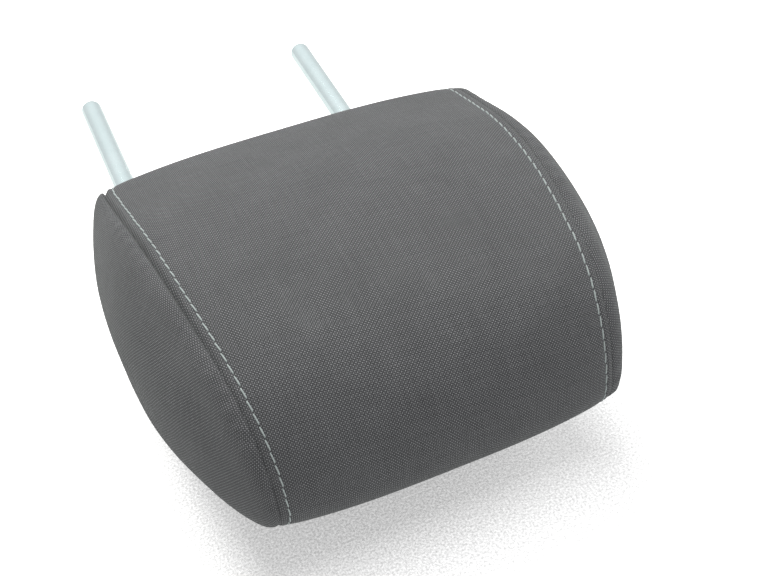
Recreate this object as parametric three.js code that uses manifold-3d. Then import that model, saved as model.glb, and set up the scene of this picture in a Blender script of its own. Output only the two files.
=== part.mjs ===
import * as THREE from 'three';
import { mergeVertices } from 'three/addons/utils/BufferGeometryUtils.js';
import Module from 'manifold-3d';

// A car headrest lying on its back, in millimetres. +X runs across it, +Y from its head edge towards
// the tips of its posts, and +Z up through its front face. Every piece is built with y = 0 at the
// middle of the padded body, and the last lines move the whole so that it stands over its origin.

// Padded body, seen from the side and measured along its side seams
const bodyHeight = 194;
const backLift = 2.6;
const frontMiddleZ = 137;
const frontMiddleRadius = 180;
const bottomFrontZ = 112.5;
const bottomFrontRadius = 20;
const bottomUndercut = 5;
const bottomBackRadius = 25;
const backBendY = 5;
const backBendRadius = 72;
const headBackZ = 57;
const headBackRadius = 20;
const headFrontZ = 113;
const headSetback = 6;
const headFrontRadius = 56;
const sectionMiddleZ = 68.6;

// Padded body, seen from the front
const seamHalfWidth = 84.6;
const seamWiden = 9.4;
const seamBow = 3.3;
const seamTuck = 3.8;
const seamTuckStart = 0.76;
const crown = 0.052;
const crownPower = 3;
const sideBulge = 20.6;
const sideCore = 12.5;
const sideRoundness = 1.78;

// Sewn cover
const coverThickness = 3;
const seamGap = 0.6;
const seamDip = 1.5;
const seamDipWidth = 5;
const allowanceDepth = 9;
const allowanceThickness = 1.5;
const grooveSideDrop = 1;
const closureGap = 1.2;
const threadDiameter = 0.9;
const topstitchInset = 3.9;

// Post frame: one bent steel rod
const postDiameter = 12.5;
const postSpacing = 142;
const postReach = 186;
const postTilt = 7.2;
const postExitZ = 29.5;
const tipFlatRadius = 2.6;
const tipShoulderBack = 0.3;
const tipShoulderRadius = 0.54;
const innerBendDepth = 16;
const innerBendRadius = 30;
const innerRise = 25;
const crossbarY = -32;
const crossbarRadius = 24;
const notchCount = 3;
const notchPitch = 20;
const notchRadius = 2.8;
const notchDepth = 1.8;
const firstNotchFromTip = 74;

// Plastic insert that clamps the rod inside the foam
const insertHalfWidth = 84;
const insertHeadWall = 16;
const insertLength = 76;
const insertShellDepth = 17;
const insertCornerRadius = 10;
const insertBevel = 2;
const pocketDepth = 10;
const centrePocketHalfWidth = 24;
const sidePocketInner = 38;
const sidePocketOuter = 62;
const pocketMargin = 8;
const screwX = 31;
const screwEdge = 14;
const screwShaftRadius = 1.8;
const screwHeadRadius = 4;
const screwHeadHeight = 3;
const screwHeadDepth = 5;
const screwHeadTopRadius = 3.2;
const screwHeadRim = 1.8;
const screwLength = 24;
const screwDriveSize = 2;

// Hooked closing strips inside the bottom slit
const stripThickness = 1.6;
const stripWeb = 9;
const stripHook = 6.4;
const stripHalfLength = 52;
const stripRows = [-1, -0.66, -0.33, 0, 0.33, 0.66, 1];

// Bushes where the posts leave the cover
const bushFlangeRadius = 14;
const bushFlangeThickness = 2.6;
const bushRimHeight = 0.9;
const bushShoulderRadius = 13.1;
const bushShoulderDrop = 0.5;
const bushTopRadius = 11.7;
const bushSleeveRadius = 9.4;
const bushSleeveDepth = 14;
const bushClearHeight = 10;

// Free space left between pieces that touch
const clearance = 0.35;

// How finely round shapes are divided
const outlineCount = 44;
const arcSteps = 12;
const rodSides = 12;
const rodBendStep = 15;
const threadSides = 5;
const screwSides = 12;
const bushSides = 24;
const cornerSegments = 4;
const weldDistance = 1e-4;
const panelRows = [0, 0.3, 0.56, 0.78, 0.93];
const capRows = [0.25, 0.47, 0.67, 0.83, 0.94, 1];

const wasm = await Module();
wasm.setup();

const materials = {
  fabric: new THREE.MeshStandardMaterial({ color: 0x3c3d3f, roughness: 0.95, metalness: 0 }),
  foam: new THREE.MeshStandardMaterial({ color: 0xd9cf9c, roughness: 1, metalness: 0 }),
  steel: new THREE.MeshStandardMaterial({ color: 0xc3d3d4, roughness: 0.25, metalness: 1 }),
  screwSteel: new THREE.MeshStandardMaterial({ color: 0x8d9092, roughness: 0.4, metalness: 1 }),
  insertPlastic: new THREE.MeshStandardMaterial({ color: 0x24262a, roughness: 0.6, metalness: 0 }),
  trimPlastic: new THREE.MeshStandardMaterial({ color: 0x17181a, roughness: 0.55, metalness: 0 }),
  thread: new THREE.MeshStandardMaterial({ color: 0xa9bcb6, roughness: 0.7, metalness: 0 }),
};

const radians = THREE.MathUtils.degToRad;

// Points of the arc that rounds a corner, from the side of `before` to the side of `after`
function roundedCorner(before, corner, after, radius, steps) {
  const towardsBefore = before.clone().sub(corner).normalize();
  const towardsAfter = after.clone().sub(corner).normalize();
  const half = towardsBefore.angleTo(towardsAfter) / 2;
  const centre = towardsBefore.clone().add(towardsAfter).normalize();
  centre.multiplyScalar(radius / Math.sin(half)).add(corner);
  const tangent = radius / Math.tan(half);
  const first = corner.clone().addScaledVector(towardsBefore, tangent).sub(centre);
  const last = corner.clone().addScaledVector(towardsAfter, tangent).sub(centre);
  const turn = Math.PI - 2 * half;
  const points = [];
  for (let step = 0; step <= steps; step += 1) {
    const share = step / steps;
    const point = centre.clone();
    point.addScaledVector(first, Math.sin((1 - share) * turn) / Math.sin(turn));
    point.addScaledVector(last, Math.sin(share * turn) / Math.sin(turn));
    points.push(point);
  }
  return points;
}

// Points at equal distances along a chain of points, both ends included
function evenlySpaced(chain, count) {
  const path = new THREE.CurvePath();
  for (let index = 1; index < chain.length; index += 1) {
    path.add(new THREE.LineCurve3(chain[index - 1], chain[index]));
  }
  return path.getSpacedPoints(count);
}

// Closed solid through a row of equal rings. Its two ends are filled, and its faces are turned outward
function solidThroughRings(rings, endFaces = null) {
  const size = rings[0].length;
  const positions = [];
  const faces = [];
  for (const ring of rings) {
    for (const point of ring) {
      positions.push(point.x, point.y, point.z);
    }
  }
  for (let row = 1; row < rings.length; row += 1) {
    for (let index = 0; index < size; index += 1) {
      const next = (index + 1) % size;
      const a = (row - 1) * size + index;
      const b = (row - 1) * size + next;
      const c = row * size + index;
      const d = row * size + next;
      faces.push([a, b, d], [a, d, c]);
    }
  }
  const lastStart = (rings.length - 1) * size;
  if (endFaces) {
    for (const [a, b, c] of endFaces) {
      faces.push([a, c, b], [lastStart + a, lastStart + b, lastStart + c]);
    }
  } else {
    for (const [start, ring, flip] of [[0, rings[0], true], [lastStart, rings.at(-1), false]]) {
      const middle = ring.reduce((sum, point) => sum.add(point), new THREE.Vector3());
      middle.divideScalar(size);
      const hub = positions.length / 3;
      positions.push(middle.x, middle.y, middle.z);
      for (let index = 0; index < size; index += 1) {
        const a = start + index;
        const b = start + (index + 1) % size;
        faces.push(flip ? [b, a, hub] : [a, b, hub]);
      }
    }
  }
  return outwardGeometry(positions, faces);
}

function outwardGeometry(positions, faces) {
  const corner = (index) => new THREE.Vector3().fromArray(positions, index * 3);
  let volume = 0;
  for (const [a, b, c] of faces) {
    volume += corner(a).dot(corner(b).cross(corner(c)));
  }
  const outward = volume > 0 ? faces : faces.map(([a, b, c]) => [a, c, b]);
  const geometry = new THREE.BufferGeometry();
  geometry.setAttribute('position', new THREE.Float32BufferAttribute(positions, 3));
  geometry.setIndex(outward.flat());
  return geometry;
}

// Triangles that fill a flat loop, wound the same way round as the loop
function loopFaces(flat) {
  const faces = THREE.ShapeUtils.triangulateShape(flat, []);
  const areaOf = (face) => THREE.ShapeUtils.area(face.map((index) => flat[index]));
  const turn = faces.reduce((sum, face) => sum + areaOf(face), 0);
  const same = turn * THREE.ShapeUtils.area(flat) > 0;
  return same ? faces : faces.map(([a, b, c]) => [a, c, b]);
}

// Round bar along a chain of points, with one radius for each point
function barAlong(points, radii, sides) {
  const rings = [];
  let side = new THREE.Vector3(1, 0, 0);
  points.forEach((point, index) => {
    const before = points[Math.max(index - 1, 0)];
    const after = points[Math.min(index + 1, points.length - 1)];
    const tangent = after.clone().sub(before).normalize();
    side = side.clone().addScaledVector(tangent, -side.dot(tangent)).normalize();
    const upward = new THREE.Vector3().crossVectors(tangent, side);
    const ring = [];
    for (let step = 0; step < sides; step += 1) {
      const angle = ((step + 0.5) / sides) * 2 * Math.PI;
      const spot = point.clone();
      spot.addScaledVector(side, Math.cos(angle) * radii[index]);
      spot.addScaledVector(upward, Math.sin(angle) * radii[index]);
      ring.push(spot);
    }
    rings.push(ring);
  });
  return solidThroughRings(rings);
}

function toManifold(geometry, matrix = new THREE.Matrix4()) {
  const plain = geometry.clone().applyMatrix4(matrix);
  plain.deleteAttribute('normal');
  plain.deleteAttribute('uv');
  const merged = mergeVertices(plain, weldDistance);
  const mesh = new wasm.Mesh({
    numProp: 3,
    vertProperties: new Float32Array(merged.attributes.position.array),
    triVerts: new Uint32Array(merged.index.array),
  });
  return new wasm.Manifold(mesh);
}

function fromManifold(solid) {
  const mesh = solid.getMesh();
  const geometry = new THREE.BufferGeometry();
  geometry.setAttribute('position', new THREE.Float32BufferAttribute(mesh.vertProperties, 3));
  geometry.setIndex(Array.from(mesh.triVerts));
  return geometry;
}

function cut(geometry, tools) {
  const solid = tools.reduce((rest, tool) => rest.subtract(tool), toManifold(geometry));
  return fromManifold(solid);
}

function namedMesh(name, geometry, material) {
  const mesh = new THREE.Mesh(geometry, material);
  mesh.name = name;
  return mesh;
}

// Side section of the body as a closed outline. It starts and ends on the bottom slit
const section = (y, z) => new THREE.Vector3(0, y, z);
const bottomY = bodyHeight / 2;
const headY = -bodyHeight / 2;
const bottomFront = section(bottomY, bottomFrontZ);
const bottomBack = section(bottomY - bottomUndercut, backLift);
const slitShare = (postExitZ - backLift) / (bottomFrontZ - backLift);
const slitPoint = bottomBack.clone().lerp(bottomFront, slitShare);
const sectionCorners = [
  [bottomFront, bottomFrontRadius],
  [section(0, frontMiddleZ), frontMiddleRadius],
  [section(headY + headSetback, headFrontZ), headFrontRadius],
  [section(headY, headBackZ), headBackRadius],
  [section(backBendY, backLift), backBendRadius],
  [bottomBack, bottomBackRadius],
];

function sectionOutline() {
  const chain = [slitPoint];
  sectionCorners.forEach(([corner, radius], index) => {
    const before = index > 0 ? sectionCorners[index - 1][0] : slitPoint;
    const after = index < sectionCorners.length - 1 ? sectionCorners[index + 1][0] : slitPoint;
    chain.push(...roundedCorner(before, corner, after, radius, arcSteps));
  });
  chain.push(slitPoint);
  return evenlySpaced(chain, outlineCount);
}

const outline = sectionOutline();
const closedOutline = outline.slice(0, -1);
const outlineSpacing = outline[1].distanceTo(outline[0]);

// Spot on the side section at a distance from the slit, which is positive towards the front
function bottomSpot(distance) {
  const next = distance < 0 ? outline.at(-2) : outline[1];
  return slitPoint.clone().lerp(next, Math.abs(distance) / outlineSpacing);
}

function seamHalfWidthAt(y) {
  const share = y / (bodyHeight / 2);
  const tucked = Math.max(0, (share - seamTuckStart) / (1 - seamTuckStart));
  const bowed = seamBow * (1 - share * share);
  return seamHalfWidth + seamWiden * share + bowed - seamTuck * tucked * tucked;
}

// A point of the padded body. `spot` is on the side section. `across` is 0 in the middle, 1 or -1 on
// a side seam, and 2 or -2 in the middle of a side panel. `depth` is how far the point lies under
// the cover's outer face, and `shift` moves it outward along X.
function bodyPoint(spot, across, depth, shift = 0) {
  const side = across < 0 ? -1 : 1;
  const reach = Math.abs(across);
  const panelShare = Math.min(reach, 1);
  const capShare = Math.max(reach - 1, 0);
  const open = Math.pow(1 - Math.pow(capShare, sideRoundness), 1 / sideRoundness);
  const rim = Math.hypot(spot.y, spot.z - sectionMiddleZ);
  const fromSeam = reach < 1 ? (1 - reach) * seamHalfWidth : capShare * sideBulge * 2;
  const dip = seamDip * Math.exp(-Math.pow(fromSeam / seamDipWidth, 2));
  let radius = rim * (1 + crown * (1 - Math.pow(panelShare, crownPower)));
  if (reach > 1) {
    radius = sideCore + (rim - sideCore) * open;
  }
  radius -= (depth + dip) * open;
  const y = (spot.y / rim) * radius;
  const z = sectionMiddleZ + ((spot.z - sectionMiddleZ) / rim) * radius;
  const seam = panelShare * seamHalfWidthAt(y);
  const x = seam + sideBulge * capShare - depth * Math.sqrt(1 - open * open) + shift;
  return new THREE.Vector3(side * x, y, Math.max(z, depth));
}

function bodyRing(across, depth, shift) {
  return closedOutline.map((spot) => bodyPoint(spot, across, depth, shift));
}

// Cover panel that wraps the front, head edge and back, with its seam allowances turned in
function centrePanel() {
  const rows = [...panelRows.slice(1).reverse().map((row) => -row), ...panelRows];
  const edge = -seamGap / 2;
  const inner = edge - allowanceThickness;
  const loop = [
    [-1, 0, edge],
    ...rows.map((row) => [row, 0, 0]),
    [1, 0, edge],
    [1, allowanceDepth, edge],
    [1, allowanceDepth, inner],
    [1, coverThickness, inner],
    ...rows.slice().reverse().map((row) => [row, coverThickness, 0]),
    [-1, coverThickness, inner],
    [-1, allowanceDepth, inner],
    [-1, allowanceDepth, edge],
  ];
  const spots = outline.slice(1, -1);
  spots.unshift(bottomSpot(closureGap / 2));
  spots.push(bottomSpot(-closureGap / 2));
  const ringAt = (spot) => loop.map(([across, depth, shift]) => bodyPoint(spot, across, depth, shift));
  const rings = spots.map(ringAt);
  const flat = rings[0].map((point) => new THREE.Vector2(point.x, point.y));
  return solidThroughRings(rings, loopFaces(flat));
}

// Side panel: a dished sheet whose rim is turned in along the seam
function sidePanel(side) {
  const edge = seamGap / 2;
  const inner = edge + allowanceThickness;
  const rings = [];
  for (const row of capRows.slice().reverse()) {
    rings.push(bodyRing(side * (1 + row), coverThickness, 0));
  }
  rings.push(bodyRing(side, coverThickness, inner));
  rings.push(bodyRing(side, allowanceDepth, inner));
  rings.push(bodyRing(side, allowanceDepth, edge));
  rings.push(bodyRing(side, 0, edge));
  for (const row of capRows) {
    rings.push(bodyRing(side * (1 + row), 0, 0));
  }
  return solidThroughRings(side > 0 ? rings : rings.reverse());
}

// Foam before its hollow is cut, with a groove under each seam for the allowances. Its rows run from
// right to left, as on the panels' inner faces, so that the facets of foam and cover lie parallel.
function foamBlank() {
  const depth = coverThickness + clearance;
  const grooveDepth = allowanceDepth + clearance;
  const grooveReach = seamGap / 2 + allowanceThickness + clearance;
  const half = [
    ...panelRows.slice(1).map((row) => [row, depth, 0]),
    [1, depth, -grooveReach],
    [1, grooveDepth, -grooveReach],
    [1, grooveDepth, grooveReach],
    [1, depth + grooveSideDrop, grooveReach],
    ...capRows.map((row) => [1 + row, depth, 0]),
  ];
  const left = half.slice().reverse().map(([across, deep, shift]) => [-across, deep, shift]);
  const rows = [...left, [0, depth, 0], ...half].reverse();
  return solidThroughRings(rows.map(([across, deep, shift]) => bodyRing(across, deep, shift)));
}

// Centre line of the bent rod, from the left tip over the crossbar to the right tip
const postX = postSpacing / 2;
const postDirection = section(Math.cos(radians(postTilt)), Math.sin(radians(postTilt)));
const postExit = new THREE.Vector3(postX, bottomY, postExitZ);
const postTip = postExit.clone().addScaledVector(postDirection, postReach);
const innerBend = postExit.clone().addScaledVector(postDirection, -innerBendDepth);
const innerRun = (innerBend.y - crossbarY) / Math.cos(radians(innerRise));
const crossbarCorner = new THREE.Vector3(
  postX,
  crossbarY,
  innerBend.z + innerRun * Math.sin(radians(innerRise)),
);
const mirrored = (point) => new THREE.Vector3(-point.x, point.y, point.z);

function rodCentreLine(endTrim) {
  const bendSteps = (angle) => Math.max(2, Math.round(angle / rodBendStep));
  const otherCorner = mirrored(crossbarCorner);
  const outerSteps = bendSteps(postTilt + innerRise);
  const half = [
    postTip.clone().addScaledVector(postDirection, -endTrim),
    ...roundedCorner(postTip, innerBend, crossbarCorner, innerBendRadius, outerSteps),
    ...roundedCorner(innerBend, crossbarCorner, otherCorner, crossbarRadius, bendSteps(90)),
  ];
  return [...half.map(mirrored), ...half.slice().reverse()];
}

function rodWithRadius(radius) {
  const line = rodCentreLine(0);
  return barAlong(line, line.map(() => radius), rodSides);
}

// Domed tips: three shrinking rings on each end, the last one a small flat
function armatureRod() {
  const radius = postDiameter / 2;
  const domeRings = [
    [0, tipFlatRadius],
    [(radius - tipFlatRadius) * tipShoulderBack, (radius + tipFlatRadius) * tipShoulderRadius],
    [radius - tipFlatRadius, radius],
  ];
  const line = rodCentreLine(domeRings.at(-1)[0]);
  const radii = line.map(() => radius);
  for (const [back, size] of domeRings.slice(0, -1).reverse()) {
    const spot = postTip.clone().addScaledVector(postDirection, -back);
    line.push(spot);
    line.unshift(mirrored(spot));
    radii.push(size);
    radii.unshift(size);
  }
  return cut(barAlong(line, radii, rodSides), notchTools());
}

// Round grooves across the inner side of the left post, where a seat's latch would hold it
function notchTools() {
  const tools = [];
  const across = new THREE.Vector3(0, -postDirection.z, postDirection.y);
  for (let index = 0; index < notchCount; index += 1) {
    const back = firstNotchFromTip + index * notchPitch;
    const centre = mirrored(postTip).addScaledVector(postDirection, -back);
    centre.x += postDiameter / 2 - notchDepth + notchRadius;
    const ends = [-postDiameter, postDiameter].map((far) => centre.clone().addScaledVector(across, far));
    tools.push(toManifold(barAlong(ends, [notchRadius, notchRadius], rodSides)));
  }
  return tools;
}

// Insert frame: x across, y along the inner legs towards the posts, z towards the headrest's front
const insertFrame = new THREE.Group();
insertFrame.position.set(0, crossbarCorner.y, crossbarCorner.z);
insertFrame.rotation.x = -radians(innerRise);
insertFrame.updateMatrix();
const intoInsert = insertFrame.matrix.clone().invert();
const insertTop = insertLength - insertHeadWall;

function roundedRectangle(low, high, radius) {
  const shape = new THREE.Shape();
  shape.moveTo(low.x + radius, low.y);
  shape.lineTo(high.x - radius, low.y);
  shape.absarc(high.x - radius, low.y + radius, radius, -Math.PI / 2, 0);
  shape.lineTo(high.x, high.y - radius);
  shape.absarc(high.x - radius, high.y - radius, radius, 0, Math.PI / 2);
  shape.lineTo(low.x + radius, high.y);
  shape.absarc(low.x + radius, high.y - radius, radius, Math.PI / 2, Math.PI);
  shape.lineTo(low.x, low.y + radius);
  shape.absarc(low.x + radius, low.y + radius, radius, Math.PI, 1.5 * Math.PI);
  return shape;
}

// Block of the insert's outline between two heights, grown by `extra`, with bevelled ends
function insertBlock(lowZ, highZ, extra, bevel) {
  const grow = extra - bevel;
  const low = new THREE.Vector2(-insertHalfWidth - grow, -insertHeadWall - grow);
  const high = new THREE.Vector2(insertHalfWidth + grow, insertTop + grow);
  const block = new THREE.ExtrudeGeometry(roundedRectangle(low, high, insertCornerRadius + grow), {
    depth: highZ - lowZ - 2 * bevel,
    bevelEnabled: bevel > 0,
    bevelThickness: bevel,
    bevelSize: bevel,
    bevelSegments: 1,
    curveSegments: cornerSegments,
  });
  block.translate(0, 0, lowZ + bevel);
  return block;
}

function boxBetween(low, high) {
  const box = new THREE.BoxGeometry(high.x - low.x, high.y - low.y, high.z - low.z);
  box.translate((low.x + high.x) / 2, (low.y + high.y) / 2, (low.z + high.z) / 2);
  return toManifold(box);
}

function uprightCylinder(x, y, lowZ, highZ, radius) {
  const cylinder = new THREE.CylinderGeometry(radius, radius, highZ - lowZ, screwSides);
  cylinder.rotateX(Math.PI / 2);
  cylinder.translate(x, y, (lowZ + highZ) / 2);
  return toManifold(cylinder);
}

const screwRows = [screwEdge, insertTop - screwEdge];
const screwSpots = [-screwX, screwX].flatMap((x) => screwRows.map((y) => [x, y]));
const screwHeadZ = -insertShellDepth + screwHeadDepth;

// `towards` is 1 for the front shell and -1 for the rear one
function insertShell(towards) {
  const inner = (seamGap / 2) * towards;
  const outer = insertShellDepth * towards;
  const block = insertBlock(Math.min(inner, outer), Math.max(inner, outer), 0, insertBevel);
  const tools = [toManifold(rodWithRadius(postDiameter / 2 + clearance), intoInsert)];
  const lowY = postDiameter / 2 + pocketMargin / 2;
  const highY = insertTop - pocketMargin;
  const pockets = [
    [-sidePocketOuter, -sidePocketInner],
    [-centrePocketHalfWidth, centrePocketHalfWidth],
    [sidePocketInner, sidePocketOuter],
  ];
  const floorZ = outer - pocketDepth * towards;
  const beyondZ = outer + insertBevel * towards;
  for (const [lowX, highX] of pockets) {
    const low = new THREE.Vector3(lowX, lowY, Math.min(floorZ, beyondZ));
    const high = new THREE.Vector3(highX, highY, Math.max(floorZ, beyondZ));
    tools.push(boxBetween(low, high));
  }
  const below = -insertShellDepth - insertBevel;
  const shaftTop = screwHeadZ + screwLength + clearance;
  const headTop = screwHeadZ + clearance;
  for (const [x, y] of screwSpots) {
    tools.push(uprightCylinder(x, y, below, shaftTop, screwShaftRadius + clearance));
    tools.push(uprightCylinder(x, y, below, headTop, screwHeadRadius + clearance));
  }
  return cut(block, tools);
}

// Screw with its head at the origin and its shaft along +Z
function screw() {
  const profile = [
    new THREE.Vector2(0, -screwHeadHeight),
    new THREE.Vector2(screwHeadTopRadius, -screwHeadHeight),
    new THREE.Vector2(screwHeadRadius, -screwHeadRim),
    new THREE.Vector2(screwHeadRadius, 0),
    new THREE.Vector2(screwShaftRadius, 0),
    new THREE.Vector2(screwShaftRadius, screwLength - screwShaftRadius * 2),
    new THREE.Vector2(0, screwLength),
  ];
  const body = new THREE.LatheGeometry(profile, screwSides);
  body.rotateX(Math.PI / 2);
  const low = new THREE.Vector3(-screwDriveSize, -screwDriveSize, -screwHeadHeight * 2);
  const high = new THREE.Vector3(screwDriveSize, screwDriveSize, -screwHeadHeight / 2);
  return cut(outwardFromGeometry(body), [boxBetween(low, high)]);
}

function outwardFromGeometry(geometry) {
  const plain = geometry.clone();
  plain.deleteAttribute('normal');
  plain.deleteAttribute('uv');
  const merged = mergeVertices(plain, weldDistance);
  const index = Array.from(merged.index.array);
  const faces = [];
  for (let start = 0; start < index.length; start += 3) {
    const [a, b, c] = index.slice(start, start + 3);
    if (a !== b && b !== c && c !== a) {
      faces.push([a, b, c]);
    }
  }
  return outwardGeometry(Array.from(merged.attributes.position.array), faces);
}

// Solid that follows the bottom face across the body. Its profile is a list of
// [distance from the slit, depth] corners.
function alongBottom(profile, halfLength) {
  const far = halfLength / seamHalfWidthAt(bottomY);
  const spots = profile.map(([distance, depth]) => [bottomSpot(distance), depth]);
  const ringAt = (across) => spots.map(([spot, depth]) => bodyPoint(spot, across, depth));
  const rings = stripRows.map((share) => ringAt(share * far));
  const flat = profile.map(([distance, depth]) => new THREE.Vector2(distance, depth));
  return solidThroughRings(rings, loopFaces(flat));
}

const stripTop = coverThickness + clearance;
const stripBottom = stripTop + stripHook;

// The front strip's hook turns up behind the rear strip's leg, so that they hold each other
function closureStripFront() {
  const legInner = closureGap / 2;
  const legOuter = legInner + stripThickness;
  const lipInner = -legInner - stripThickness - clearance;
  const lipOuter = lipInner - stripThickness;
  return alongBottom([
    [legInner, stripTop],
    [legOuter + stripWeb, stripTop],
    [legOuter + stripWeb, stripTop + stripThickness],
    [legOuter, stripTop + stripThickness],
    [legOuter, stripBottom],
    [lipOuter, stripBottom],
    [lipOuter, stripBottom - stripHook / 2],
    [lipInner, stripBottom - stripHook / 2],
    [lipInner, stripBottom - stripThickness],
    [legInner, stripBottom - stripThickness],
  ], stripHalfLength);
}

function closureStripRear() {
  const legInner = -closureGap / 2;
  const legOuter = legInner - stripThickness;
  const legEnd = stripBottom - stripThickness - clearance;
  return alongBottom([
    [legInner, stripTop],
    [legInner, legEnd],
    [legOuter, legEnd],
    [legOuter, stripTop + stripThickness],
    [legOuter - stripWeb, stripTop + stripThickness],
    [legOuter - stripWeb, stripTop],
  ], stripHalfLength);
}

function stripPocket() {
  const reach = closureGap / 2 + stripThickness + stripWeb + clearance;
  return toManifold(alongBottom([
    [reach, 0],
    [reach, stripBottom + clearance],
    [0, stripBottom + clearance],
    [-reach, stripBottom + clearance],
    [-reach, 0],
  ], stripHalfLength + clearance));
}

// Frame of a post's bush: it sits where the post's axis leaves the cover and looks out of it. A short
// step along each direction of the surface gives the direction that the surface faces.
function bushFrame(side) {
  const across = postX / seamHalfWidthAt(bottomY);
  const step = 0.5;
  const here = bodyPoint(slitPoint, across, 0);
  const alongX = bodyPoint(slitPoint, across + step / seamHalfWidth, 0).sub(here);
  const alongZ = bodyPoint(bottomSpot(step), across, 0).sub(here);
  const normal = new THREE.Vector3().crossVectors(alongX, alongZ).normalize();
  normal.multiplyScalar(Math.sign(normal.y));
  const travel = here.clone().sub(postExit).dot(normal) / postDirection.dot(normal);
  const centre = postExit.clone().addScaledVector(postDirection, travel);
  const frame = new THREE.Group();
  frame.position.set(side * centre.x, centre.y, centre.z);
  const facing = new THREE.Vector3(side * normal.x, normal.y, normal.z);
  frame.quaternion.setFromUnitVectors(new THREE.Vector3(0, 0, 1), facing);
  frame.updateMatrix();
  return frame;
}

function bushBody(extra) {
  const flangeLow = clearance - extra;
  const flangeHigh = clearance + bushFlangeThickness;
  const profile = [
    new THREE.Vector2(0, -bushSleeveDepth - extra),
    new THREE.Vector2(bushSleeveRadius + extra, -bushSleeveDepth - extra),
    new THREE.Vector2(bushSleeveRadius + extra, flangeLow),
    new THREE.Vector2(bushFlangeRadius, flangeLow),
    new THREE.Vector2(bushFlangeRadius, flangeLow + bushRimHeight),
    new THREE.Vector2(bushShoulderRadius, flangeHigh - bushShoulderDrop),
    new THREE.Vector2(bushTopRadius, flangeHigh),
    new THREE.Vector2(0, flangeHigh),
  ];
  const body = new THREE.LatheGeometry(profile, bushSides);
  body.rotateX(Math.PI / 2);
  return outwardFromGeometry(body);
}

function sleeveTool(frame) {
  const radius = bushSleeveRadius + clearance;
  const low = -bushSleeveDepth - clearance;
  const cylinder = new THREE.CylinderGeometry(radius, radius, bushClearHeight - low, bushSides);
  cylinder.rotateX(Math.PI / 2);
  cylinder.translate(0, 0, (low + bushClearHeight) / 2);
  return toManifold(cylinder, frame.matrix);
}

const leftBush = bushFrame(-1);
const rightBush = bushFrame(1);

function bush(frame) {
  const rod = toManifold(rodWithRadius(postDiameter / 2 + clearance), frame.matrix.clone().invert());
  return cut(bushBody(0), [rod]);
}

function foamBun() {
  const hollow = insertBlock(
    -insertShellDepth - clearance,
    insertShellDepth + clearance,
    clearance,
    0,
  );
  return cut(foamBlank(), [
    toManifold(hollow, insertFrame.matrix),
    toManifold(rodWithRadius(postDiameter / 2 + clearance)),
    stripPocket(),
    sleeveTool(leftBush),
    sleeveTool(rightBush),
  ]);
}

function coverCentre() {
  return cut(centrePanel(), [sleeveTool(leftBush), sleeveTool(rightBush)]);
}

// Decorative thread on the centre panel, beside a seam
function topstitch(side) {
  const lift = threadDiameter / 2 + clearance;
  const points = outline.slice(1, -1).map((spot) => {
    const seam = seamHalfWidthAt(spot.y);
    return bodyPoint(spot, (side * (seam - topstitchInset)) / seam, -lift);
  });
  return barAlong(points, points.map(() => threadDiameter / 2), threadSides);
}

const headrest = new THREE.Group();
headrest.add(namedMesh('armature_rod', armatureRod(), materials.steel));
headrest.add(namedMesh('foam_bun', foamBun(), materials.foam));
headrest.add(namedMesh('cover_center_panel', coverCentre(), materials.fabric));
headrest.add(namedMesh('cover_side_left', sidePanel(-1), materials.fabric));
headrest.add(namedMesh('cover_side_right', sidePanel(1), materials.fabric));
headrest.add(namedMesh('topstitch_left', topstitch(-1), materials.thread));
headrest.add(namedMesh('topstitch_right', topstitch(1), materials.thread));
headrest.add(namedMesh('closure_strip_front', closureStripFront(), materials.trimPlastic));
headrest.add(namedMesh('closure_strip_rear', closureStripRear(), materials.trimPlastic));

insertFrame.add(namedMesh('insert_shell_front', insertShell(1), materials.insertPlastic));
insertFrame.add(namedMesh('insert_shell_rear', insertShell(-1), materials.insertPlastic));
screwSpots.forEach(([x, y], index) => {
  const piece = namedMesh(`insert_screw_${index + 1}`, screw(), materials.screwSteel);
  piece.position.set(x, y, screwHeadZ + clearance / 2);
  insertFrame.add(piece);
});
headrest.add(insertFrame);

leftBush.add(namedMesh('post_bush_left', bush(leftBush), materials.trimPlastic));
rightBush.add(namedMesh('post_bush_right', bush(rightBush), materials.trimPlastic));
headrest.add(leftBush, rightBush);

// The origin goes under the middle of the part, on the surface that it lies on
const extent = new THREE.Box3().setFromObject(headrest, true);
headrest.position.y = -(extent.min.y + extent.max.y) / 2;

export default headrest;
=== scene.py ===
import math

import bmesh
import bpy
import numpy as np
from mathutils import Matrix, Vector


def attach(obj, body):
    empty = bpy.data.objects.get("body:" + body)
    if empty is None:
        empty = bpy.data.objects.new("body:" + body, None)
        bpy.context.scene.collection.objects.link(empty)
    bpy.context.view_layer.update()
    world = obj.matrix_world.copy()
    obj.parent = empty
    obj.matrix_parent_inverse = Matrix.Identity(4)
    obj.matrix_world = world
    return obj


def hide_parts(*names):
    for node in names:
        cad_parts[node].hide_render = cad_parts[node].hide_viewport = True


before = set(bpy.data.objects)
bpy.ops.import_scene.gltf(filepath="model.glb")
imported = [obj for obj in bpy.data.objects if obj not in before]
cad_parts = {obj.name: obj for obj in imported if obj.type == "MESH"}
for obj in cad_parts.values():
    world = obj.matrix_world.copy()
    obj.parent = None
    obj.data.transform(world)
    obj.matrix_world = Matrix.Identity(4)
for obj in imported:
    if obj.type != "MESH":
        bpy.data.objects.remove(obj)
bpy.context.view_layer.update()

# Lengths are in millimetres until a mesh is made, except where a comment says metres. The padded
# body's own frame has y = 0 at its middle, and BODY_Y moves it over the row's origin.
MM = 0.001
BODY_Y = -90.69

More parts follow.
